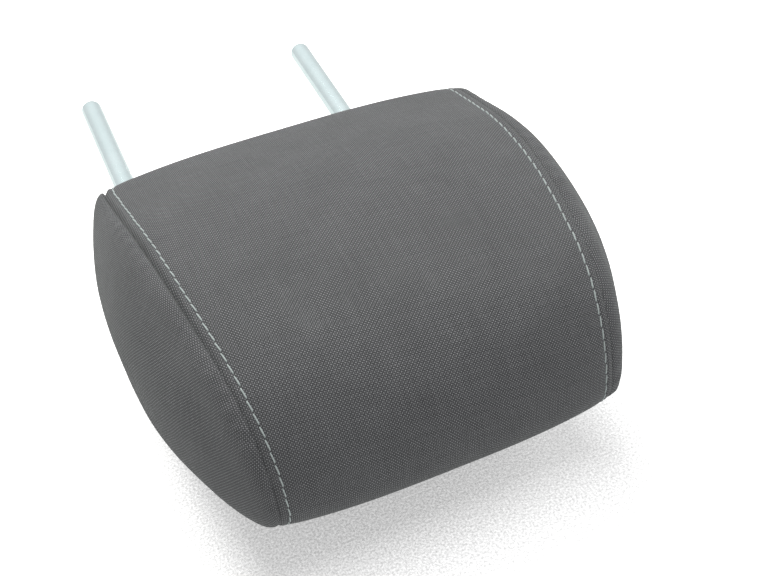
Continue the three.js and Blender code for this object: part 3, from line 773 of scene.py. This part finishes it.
def smoothed(field, rows, columns):
    """The same field on a finer grid, without its kinks."""
    row_spots = np.arange(TIMES_FINER * (len(rows) - 1) + 1) / TIMES_FINER
    column_spots = np.arange(TIMES_FINER * (len(columns) - 1) + 1) / TIMES_FINER
    fine_rows = np.interp(row_spots, np.arange(len(rows)), rows)
    fine_columns = np.interp(column_spots, np.arange(len(columns)), columns)
    s, a = np.meshgrid(fine_rows, fine_columns, indexing="ij")
    fine = sample(field, rows, columns, s, a)
    for _ in range(SMOOTHING_PASSES):
        fine[1:-1] = (fine[:-2] + 2 * fine[1:-1] + fine[2:]) / 4
        fine[:, 1:-1] = (fine[:, :-2] + 2 * fine[:, 1:-1] + fine[:, 2:]) / 4
    return fine, fine_rows, fine_columns


def centre_moves():
    """Moves of the centre panel, with its rows and columns."""
    rows = np.linspace(SLIT_GAP / 2, OUTLINE_LENGTH - SLIT_GAP / 2, int(OUTLINE_LENGTH / CLOTH_STEP))
    columns = np.sin(np.linspace(-1, 1, CLOTH_COLUMNS) * math.pi / 2)
    s, a = np.meshgrid(rows, columns, indexing="ij")
    from_seam = (1 - np.abs(a)) * SEAM_HALF_WIDTH
    edge = np.zeros_like(s)
    edge[[0, -1]] = 1
    seam_pins = np.where(from_seam < SEAM_PIN_REACH, 1.0, edge)
    pins = np.maximum(seam_pins, STITCH_PIN * bump(from_seam, STITCH_INSET, STITCH_PIN_WIDTH))
    growth = bump(from_seam, GROWTH_CENTRE, GROWTH_WIDTH)
    faces = [face[::-1] for face in grid_faces(*s.shape)]
    moves = cloth_moves(body_points(s, a), faces, pins.ravel(), growth.ravel(), CENTRE_PRESSURE)
    return smoothed(moves.reshape(*s.shape, 3), rows, columns)


def side_moves(side):
    """Moves of a side panel, with its rows and columns."""
    rows = np.linspace(0, OUTLINE_LENGTH, int(OUTLINE_LENGTH / CLOTH_STEP))
    columns = np.linspace(0, 1, CLOTH_RINGS)
    s, cap = np.meshgrid(rows, columns, indexing="ij")
    count = len(rows) - 1
    points = body_points(s[:-1, :-1].T, side * (1 + cap[:-1, :-1].T))
    middle = body_points(np.array(0.0), np.array(side * 2.0))
    hub = points.shape[0] * count
    faces = grid_faces(CLOTH_RINGS - 1, count, closed=True)
    start = hub - count
    faces += [(start + c, start + (c + 1) % count, hub) for c in range(count)]
    if side < 0:
        faces = [face[::-1] for face in faces]
    flat = np.concatenate([points.reshape(-1, 3), middle[None]])
    caps = np.append(cap[:-1, :-1].T.ravel(), 1.0)
    pins = np.where(caps == 0, 1.0, 0.0)
    moves = cloth_moves(flat, faces, pins, bump(caps, 0, SIDE_GROWTH_SHARE), SIDE_PRESSURE)
    field = np.empty((len(rows), CLOTH_RINGS, 3))
    field[:-1, :-1] = moves[:-1].reshape(CLOTH_RINGS - 1, count, 3).transpose(1, 0, 2)
    field[-1, :-1] = field[0, :-1]
    field[:, -1] = moves[-1]
    return smoothed(field, rows, columns)


def stitch_distances():
    """Middles of the stitches along the outline."""
    count = int((OUTLINE_LENGTH - 2 * SLIT_GAP) / STITCH_PITCH)
    return (np.arange(count) + 0.5) * (OUTLINE_LENGTH - 2 * SLIT_GAP) / count + SLIT_GAP


CENTRE_MOVES = centre_moves()


def centre_panel():
    """The panel over the front, the head edge and the back, with its edges turned in."""
    along = np.linspace(SLIT_GAP / 2, OUTLINE_LENGTH - SLIT_GAP / 2, int(OUTLINE_LENGTH / GRID_STEP))
    edge = 1 - np.array(NEAR_SEAM) / SEAM_HALF_WIDTH
    inner = np.linspace(-edge[-1], edge[-1], int(2 * SEAM_HALF_WIDTH * edge[-1] / INNER_STEP))
    across = np.concatenate([-edge[:-1], inner, edge[:-1][::-1]])
    turned = [(1.0, depth, -shift) for depth, shift in TURNED_IN]
    left = [(-a, d, s) for a, d, s in reversed(turned)]
    columns = left + [(a, 0.0, 0.0) for a in across] + [(a, d, s) for a, d, s in turned]
    first_hem = [(along[0], depth) for depth, _ in reversed(TURNED_IN)]
    last_hem = [(along[-1], depth) for depth, _ in TURNED_IN]
    stations = first_hem + [(s, 0.0) for s in along] + last_hem
    s = np.array([[station[0]] * len(columns) for station in stations])
    a = np.array([[column[0] for column in columns]] * len(stations))
    turn_in = np.array([[column[1] for column in columns]] * len(stations))
    hem_in = np.array([[station[1]] * len(columns) for station in stations])
    shift = np.array([[column[2] for column in columns]] * len(stations))
    depth = np.maximum(turn_in, hem_in)
    points = body_points(s, a, depth, shift) + sample(*CENTRE_MOVES, s, a)
    points[..., 2] = np.maximum(points[..., 2], depth)
    u = points[..., 0] + np.sign(a) * turn_in
    v = s + np.where(s > OUTLINE_LENGTH / 2, 1, -1) * hem_in
    faces = [face[::-1] for face in grid_faces(len(stations), len(columns))]
    return new_object("cover_panel_center", points, faces, np.stack([u.ravel(), v.ravel()], axis=1))


def side_panel(side):
    """A side panel, from the edge turned in at the seam to its middle."""
    shares = np.sin(np.linspace(0, math.pi / 2, SIDE_ROWS)) ** SIDE_ROW_POWER
    columns = int(OUTLINE_LENGTH / GRID_STEP)
    along = np.arange(columns) / columns * OUTLINE_LENGTH
    turned = [(0.0, depth, shift) for depth, shift in reversed(TURNED_IN)]
    rings = turned + [(share, 0.0, 0.0) for share in shares[:-1]]
    s = np.array([along] * len(rings))
    cap = np.array([[ring[0]] * columns for ring in rings])
    depth = np.array([[ring[1]] * columns for ring in rings])
    shift = np.array([[ring[2]] * columns for ring in rings])
    moves = side_moves(side)
    points = body_points(s, side * (1 + cap), depth, shift) + sample(*moves, s, cap)
    points[..., 2] = np.maximum(points[..., 2], depth)
    middle = body_points(np.array(0.0), np.array(side * 2.0)) + moves[0][0, -1]
    rows = np.concatenate([points, middle + np.zeros((1, columns, 3))])
    steps = np.linalg.norm(np.diff(rows, axis=0), axis=2)
    reach = np.cumsum(steps[::-1], axis=0)[::-1]
    angle = np.arctan2(points[..., 2] - middle[2], points[..., 1] - middle[1]) + SIDE_GRAIN
    u = reach * np.cos(angle)
    v = reach * np.sin(angle)
    flat = np.concatenate([points.reshape(-1, 3), middle[None]])
    hub = len(flat) - 1
    faces = grid_faces(len(rings), columns, closed=True)
    start = (len(rings) - 1) * columns
    faces += [(start + c, start + (c + 1) % columns, hub) for c in range(columns)]
    if side < 0:
        faces = [face[::-1] for face in faces]
    uvs = np.concatenate([np.stack([u.ravel(), v.ravel()], axis=1), [[0.0, 0.0]]])
    name = "cover_panel_left" if side < 0 else "cover_panel_right"
    return new_object(name, flat, faces, uvs)


def thicken(piece):
    """Gives a panel its second face."""
    shell = piece.modifiers.new("shell", "SOLIDIFY")
    shell.thickness = CLOTH_THICKNESS * MM
    shell.offset = -1
    apply_modifiers(piece)
    piece.data.shade_smooth()


for panel, node in (
    (centre_panel(), "cover_center_panel"),
    (side_panel(-1), "cover_side_left"),
    (side_panel(1), "cover_side_right"),
):
    thicken(panel)
    finish_piece(panel, FABRIC, "cover_fabric", node)


# Decorative stitches

def stitches(side):
    """One row of separate stitches. Their ends dive into the cloth, and each is a little askew."""
    points = []
    faces = []
    run = np.linspace(-1, 1, THREAD_STEPS)
    for index, middle in enumerate(stitch_distances()):
        wander = QUICK_WANDER * math.sin(index * QUICK_WANDER_TURN)
        wander += SLOW_WANDER * math.sin(index * SLOW_WANDER_TURN + SLOW_WANDER_START)
        s = middle + run * (STITCH_LENGTH / 2 + STITCH_OVERRUN)
        offset = STITCH_INSET + wander + run * STITCH_SKEW
        a = side * (1 - offset / SEAM_HALF_WIDTH)
        lift = THREAD_RADIUS * STITCH_LIFT_SHARE - STITCH_DIVE * np.abs(run) ** STITCH_DIVE_POWER
        path = body_points(s, a, -lift) + sample(*CENTRE_MOVES, s, a)
        radii = THREAD_RADIUS * (1 - THREAD_THINNING * np.abs(run) ** THREAD_THINNING_POWER)

        def ply(angles, ring):
            return 1 + PLY_DEPTH * np.cos(2 * (angles - run[ring] * PLY_TURNS * math.pi))

        rings = tube_points(path, radii, THREAD_SIDES, (1, 0, 0), ply)
        ring_points, ring_faces = capped_tube(rings)
        base = len(points) * rings.shape[0] * rings.shape[1]
        points.append(ring_points)
        faces += [tuple(i + base for i in face) for face in ring_faces]
    name = "stitches_left" if side < 0 else "stitches_right"
    piece = new_object(name, np.concatenate(points), faces)
    outward(piece)
    return piece


for side, node in ((-1, "topstitch_left"), (1, "topstitch_right")):
    finish_piece(stitches(side), THREAD, "thread", node)


# Post frame

POST_DIRECTION = np.array([0, math.cos(POST_TILT), math.sin(POST_TILT)])


def rod_half():
    """Centre line of the rod's right half, from its tip to the crossbar, with fine steps on the post."""
    exit_point = np.array([POST_X, HALF_HEIGHT, POST_EXIT_Z])
    tip = exit_point + POST_DIRECTION * POST_REACH
    bend = exit_point - POST_DIRECTION * INNER_BEND_DEPTH
    run = (bend[1] - CROSSBAR_Y) / math.cos(INNER_RISE)
    corner = np.array([POST_X, CROSSBAR_Y, bend[2] + run * math.sin(INNER_RISE)])
    opposite = corner * [-1, 1, 1]
    first = rounded_corner(tip, bend, corner, INNER_BEND_RADIUS)
    second = rounded_corner(bend, corner, opposite, CROSSBAR_RADIUS)
    length = np.linalg.norm(first[0] - tip)
    notches_start = FIRST_NOTCH - NOTCH_MARGIN
    notches_end = FIRST_NOTCH + NOTCH_PITCH * (NOTCH_COUNT - 1) + NOTCH_MARGIN
    backs = np.concatenate([
        np.linspace(0, POST_RADIUS, TIP_STEPS),
        np.arange(POST_RADIUS + 1, notches_start, ROD_STEP),
        np.arange(notches_start, notches_end, NOTCH_STEP),
        np.arange(notches_end + 2, length - 1, ROD_STEP),
    ])
    straight = tip - np.outer(backs, POST_DIRECTION)
    return np.concatenate([straight, first, second]), backs


def post_frame():
    """The whole rod, with domed tips and the latch notches in the left post's inner side."""
    half, backs = rod_half()
    path = np.concatenate([half * [-1, 1, 1], half[::-1]])
    radii = np.full(len(path), POST_RADIUS)
    dome = POST_RADIUS - TIP_FLAT_RADIUS
    for index, back in enumerate(backs):
        if back < dome:
            size = TIP_FLAT_RADIUS + math.sqrt(dome**2 - (dome - back) ** 2)
            radii[index] = size
            radii[-1 - index] = size
    rings = tube_points(path, radii, ROD_SIDES, (1, 0, 0))
    for index, back in enumerate(backs):
        for notch in range(NOTCH_COUNT):
            off = back - FIRST_NOTCH - notch * NOTCH_PITCH
            if abs(off) < NOTCH_RADIUS:
                floor = POST_RADIUS - NOTCH_DEPTH + NOTCH_RADIUS - math.sqrt(NOTCH_RADIUS**2 - off**2)
                rings[index][:, 0] = np.minimum(rings[index][:, 0], -POST_X + floor)
    points, faces = capped_tube(rings)
    piece = new_object("post_frame", points, faces)
    outward(piece)
    return piece


finish_piece(post_frame(), CHROME, "post_steel", "armature_rod")


# Bushes

def bush_frame(side):
    """Origin and outward normal of a bush, where the post leaves the cover."""
    across = POST_X / float(seam_half_width(HALF_HEIGHT))
    step = 0.5
    zero = np.array(0.0)
    here = body_points(zero, np.array(across))
    along_x = body_points(zero, np.array(across + step / SEAM_HALF_WIDTH)) - here
    along_z = body_points(zero + step, np.array(across)) - here
    normal = unit(np.cross(along_x, along_z))
    normal *= math.copysign(1, normal[1])
    exit_point = np.array([POST_X, HALF_HEIGHT, POST_EXIT_Z])
    travel = (here - exit_point) @ normal / (POST_DIRECTION @ normal)
    centre = exit_point + POST_DIRECTION * travel
    flip = np.array([side, 1, 1])
    return centre * flip, normal * flip


def bush(side):
    """A flange on the cover and a sleeve in the foam, whose bore follows the slanting post."""
    centre, normal = bush_frame(side)
    bore = POST_RADIUS + BUSH_FIT
    profile = [
        (bore, -BUSH_SLEEVE_DEPTH),
        (BUSH_SLEEVE_RADIUS - BUSH_CHAMFER, -BUSH_SLEEVE_DEPTH),
        (BUSH_SLEEVE_RADIUS, BUSH_CHAMFER - BUSH_SLEEVE_DEPTH),
        (BUSH_SLEEVE_RADIUS, CLEARANCE),
    ]
    profile += [(BUSH_FLANGE_RADIUS - inward, CLEARANCE + rise) for inward, rise in BUSH_EDGE]
    profile += [(bore + outward_by, CLEARANCE + rise) for outward_by, rise in BUSH_MOUTH]
    axis = unit(normal)
    across = unit(np.cross([0, 0, 1], axis))
    up = np.cross(axis, across)
    angles = np.arange(BUSH_SIDES) / BUSH_SIDES * 2 * math.pi
    skew = POST_DIRECTION / (POST_DIRECTION @ axis) - axis
    rings = []
    for radius, height in profile:
        middle = centre + axis * height
        if radius <= bore + BORE_REACH:
            middle = middle + skew * height
        sideways = np.outer(np.cos(angles) * radius, across)
        rings.append(middle + sideways + np.outer(np.sin(angles) * radius, up))
    rings = np.array(rings)
    faces = grid_faces(len(rings), len(angles), closed=True)
    last = (len(rings) - 1) * len(angles)
    for index in range(len(angles)):
        after = (index + 1) % len(angles)
        faces.append((last + index, last + after, after, index))
    name = "bush_left" if side < 0 else "bush_right"
    piece = new_object(name, rings, faces)
    outward(piece)
    return piece


for side, node in ((-1, "post_bush_left"), (1, "post_bush_right")):
    finish_piece(bush(side), TRIM, "trim_plastic", node)


# Foam bun

def foam_bun():
    """The CAD solid with softened edges, and with less bulge beyond the seams, to stay under the cover."""
    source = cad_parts["foam_bun"]
    mesh = source.data.copy()
    mesh.transform(source.matrix_world)
    for vertex in mesh.vertices:
        seam = float(seam_half_width(vertex.co.y / MM - BODY_Y)) * MM
        beyond = abs(vertex.co.x) - seam
        if beyond > 0:
            vertex.co.x = math.copysign(seam + beyond * FOAM_SIDE_SHARE, vertex.co.x)
    piece = bpy.data.objects.new("foam_core", mesh)
    bpy.context.collection.objects.link(piece)
    voxels = piece.modifiers.new("voxels", "REMESH")
    voxels.mode = "VOXEL"
    voxels.voxel_size = FOAM_VOXEL * MM
    soften = piece.modifiers.new("soften", "SMOOTH")
    soften.factor = FOAM_SOFTENING
    soften.iterations = FOAM_SOFTENING_PASSES
    apply_modifiers(piece)
    piece.data.shade_smooth()
    return piece


foam = foam_bun()
finish_piece(foam, FOAM, "foam", "foam_bun")

# Hidden pieces that keep their CAD shape
KEPT = {
    "insert_shell_front": INSERT,
    "insert_shell_rear": INSERT,
    "closure_strip_front": TRIM,
    "closure_strip_rear": TRIM,
}
for index in range(1, 5):
    KEPT[f"insert_screw_{index}"] = SCREW
for name, material in KEPT.items():
    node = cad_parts[name]
    node.data.materials.clear()
    node.data.materials.append(material)


# Floor, lights and camera

def floor_material():
    """White floor. What the camera and reflections see is lifted to white, and the shadow stays."""
    n = Nodes("floor")
    place = n.place()
    grain = n.noise(place, FLOOR_GRAIN_SCALE, 2.0, 0.7)
    level = n.span(grain, 0.3, 0.7, *FLOOR_TONES)
    split = n.add("ShaderNodeSeparateXYZ")
    n.feed(split.inputs[0], place)
    along = n.math("SUBTRACT", split.outputs[1], PAD_Y)
    beside = n.math("SUBTRACT", n.math("ABSOLUTE", split.outputs[0]), PAD_HALF_WIDTH)
    beyond = n.math("SUBTRACT", n.math("ABSOLUTE", along), PAD_HALF_HEIGHT)
    beside = n.math("MAXIMUM", beside, 0.0)
    beyond = n.math("MAXIMUM", beyond, 0.0)
    squares = n.math("ADD", n.math("MULTIPLY", beside, beside), n.math("MULTIPLY", beyond, beyond))
    lift = n.span(n.math("SQRT", squares), 0.0, FLOOR_GLOW_WIDTH, FLOOR_LIFT, 1.0)
    lift = n.math("MULTIPLY", lift, n.span(grain, 0.35, 0.65, *FLOOR_LIFT_RANGE))
    tone = n.add("ShaderNodeCombineColor")
    for socket in tone.inputs:
        n.feed(socket, level)
    rays = n.add("ShaderNodeLightPath").outputs
    seen = n.math("MULTIPLY", rays["Is Camera Ray"], lift)
    seen = n.math("ADD", seen, n.math("MULTIPLY", rays["Is Glossy Ray"], FLOOR_MIRRORED))
    n.set(Base_Color=tone.outputs[0], Roughness=0.9, Specular_IOR_Level=0.1, Emission_Color=(1.0, 1.0, 1.0))
    n.feed(n.shader.inputs["Emission Strength"], seen)
    return n.material


def white_floor():
    """A wide plane that the headrest lies on."""
    corner = FLOOR_SIZE / 2
    corners = [(-corner, -corner, 0), (corner, -corner, 0), (corner, corner, 0), (-corner, corner, 0)]
    mesh = bpy.data.meshes.new("floor")
    mesh.from_pydata(corners, [], [(0, 1, 2, 3)])
    mesh.materials.append(floor_material())
    plane = bpy.data.objects.new("floor", mesh)
    bpy.context.collection.objects.link(plane)
    return plane


floor = white_floor()


def area_light(name, spot, size, power, colour):
    """A round lamp aimed at the headrest."""
    lamp = bpy.data.lights.new(name, "AREA")
    lamp.shape = "DISK"
    lamp.size = size
    lamp.energy = power
    lamp.color = colour
    holder = bpy.data.objects.new(name, lamp)
    bpy.context.collection.objects.link(holder)
    holder.location = spot
    holder.rotation_euler = (Vector(LIGHT_AIM) - Vector(spot)).to_track_quat("-Z", "Y").to_euler()


def studio_world():
    """Surroundings: white to the camera, a little darker low down in reflections, and dim as a light."""
    world = bpy.data.worlds.new("studio")
    bpy.context.scene.world = world
    world.use_nodes = True
    tree = world.node_tree
    background = tree.nodes["Background"]
    rays = tree.nodes.new("ShaderNodeLightPath")
    seen = tree.nodes.new("ShaderNodeMath")
    seen.operation = "MAXIMUM"
    tree.links.new(rays.outputs["Is Camera Ray"], seen.inputs[0])
    tree.links.new(rays.outputs["Is Glossy Ray"], seen.inputs[1])
    direction = tree.nodes.new("ShaderNodeTexCoord")
    split = tree.nodes.new("ShaderNodeSeparateXYZ")
    tree.links.new(direction.outputs["Generated"], split.inputs[0])
    mirrored = tree.nodes.new("ShaderNodeMapRange")
    mirrored.interpolation_type = "SMOOTHSTEP"
    mirrored.inputs["From Min"].default_value = BRIGHTENING_START
    mirrored.inputs["From Max"].default_value = BRIGHTENING_END
    mirrored.inputs["To Min"].default_value = HORIZON
    mirrored.inputs["To Max"].default_value = 1.0
    tree.links.new(split.outputs[2], mirrored.inputs["Value"])
    shown = tree.nodes.new("ShaderNodeMath")
    shown.operation = "MAXIMUM"
    tree.links.new(mirrored.outputs[0], shown.inputs[0])
    tree.links.new(rays.outputs["Is Camera Ray"], shown.inputs[1])
    strength = tree.nodes.new("ShaderNodeMapRange")
    strength.inputs["To Min"].default_value = WORLD_LIGHT
    tree.links.new(seen.outputs[0], strength.inputs["Value"])
    tree.links.new(shown.outputs[0], strength.inputs["To Max"])
    tree.links.new(strength.outputs[0], background.inputs["Strength"])
    background.inputs["Color"].default_value = (1, 1, 1, 1)


def photo_camera():
    """The photograph's camera, turned about its own axis by the roll."""
    azimuth, elevation, roll = CAMERA_AZIMUTH, CAMERA_ELEVATION, CAMERA_ROLL
    back = Vector((
        math.sin(azimuth) * math.cos(elevation),
        -math.cos(azimuth) * math.cos(elevation),
        math.sin(elevation),
    ))
    right = (-back).cross(Vector((0, 0, 1))).normalized()
    up = right.cross(-back)
    turned_right = math.cos(roll) * right + math.sin(roll) * up
    turned_up = -math.sin(roll) * right + math.cos(roll) * up
    lens = bpy.data.cameras.new("camera")
    lens.sensor_fit = "HORIZONTAL"
    lens.sensor_width = 36
    lens.lens = CAMERA_LENS
    lens.clip_start = 0.01
    holder = bpy.data.objects.new("camera", lens)
    bpy.context.collection.objects.link(holder)
    placed = Matrix((turned_right, turned_up, back)).transposed().to_4x4()
    placed.translation = (Vector(CAMERA_AIM) + back * CAMERA_DISTANCE) * MM
    holder.matrix_world = placed
    bpy.context.scene.camera = holder


area_light("key", KEY_PLACE, KEY_SIZE, KEY_POWER, KEY_COLOUR)
area_light("fill", FILL_PLACE, FILL_SIZE, FILL_POWER, FILL_COLOUR)
studio_world()
photo_camera()
bpy.context.scene.view_settings.view_transform = "Standard"
